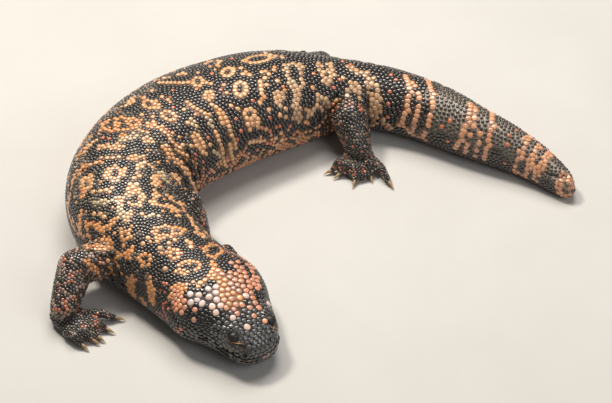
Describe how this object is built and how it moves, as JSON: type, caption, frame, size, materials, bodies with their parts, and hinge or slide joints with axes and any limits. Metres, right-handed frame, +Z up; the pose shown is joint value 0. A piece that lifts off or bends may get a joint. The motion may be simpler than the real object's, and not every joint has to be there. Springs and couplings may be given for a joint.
{
  "type": "gila monster",
  "caption": "Life-size still gila monster lying on its belly in a curve, head and tail turned to one side, legs splayed, thick banded tail on the ground.",
  "frame": {"origin": "centre of the footprint, on the ground the animal lies on", "axes": "+Z up; +X across the longest way of the curled body, from the outside of the chest's bend towards the tail tip; the snout points towards -Y"},
  "size_m": [0.3204, 0.2784, 0.0559],
  "materials": {
    "beaded_skin": "glossy dark beads mottled with peach bands and rings",
    "eye": "wet, glossy, near black",
    "claw": "smooth yellow-tan horn"
  },
  "bodies": {
    "root": {"head": "beaded_skin", "jaw": "beaded_skin", "eye_left": "eye", "eye_right": "eye", "neck": "beaded_skin", "chest": "beaded_skin", "belly": "beaded_skin", "loin": "beaded_skin", "tail_base": "beaded_skin", "tail_middle": "beaded_skin", "tail_tip": "beaded_skin", "upper_arm_left": "beaded_skin", "upper_arm_right": "beaded_skin", "forearm_left": "beaded_skin", "forearm_right": "beaded_skin", "hand_left": "beaded_skin", "hand_right": "beaded_skin", "thigh_left": "beaded_skin", "thigh_right": "beaded_skin", "shank_left": "beaded_skin", "shank_right": "beaded_skin", "foot_left": "beaded_skin", "foot_right": "beaded_skin", "hand_left_claw_1": "claw", "hand_left_claw_2": "claw", "hand_left_claw_3": "claw", "hand_left_claw_4": "claw", "hand_left_claw_5": "claw", "hand_right_claw_1": "claw", "hand_right_claw_2": "claw", "hand_right_claw_3": "claw", "hand_right_claw_4": "claw", "hand_right_claw_5": "claw", "foot_left_claw_1": "claw", "foot_left_claw_2": "claw", "foot_left_claw_3": "claw", "foot_left_claw_4": "claw", "foot_left_claw_5": "claw", "foot_right_claw_1": "claw", "foot_right_claw_2": "claw", "foot_right_claw_3": "claw", "foot_right_claw_4": "claw", "foot_right_claw_5": "claw"}
  },
  "joints": []
}
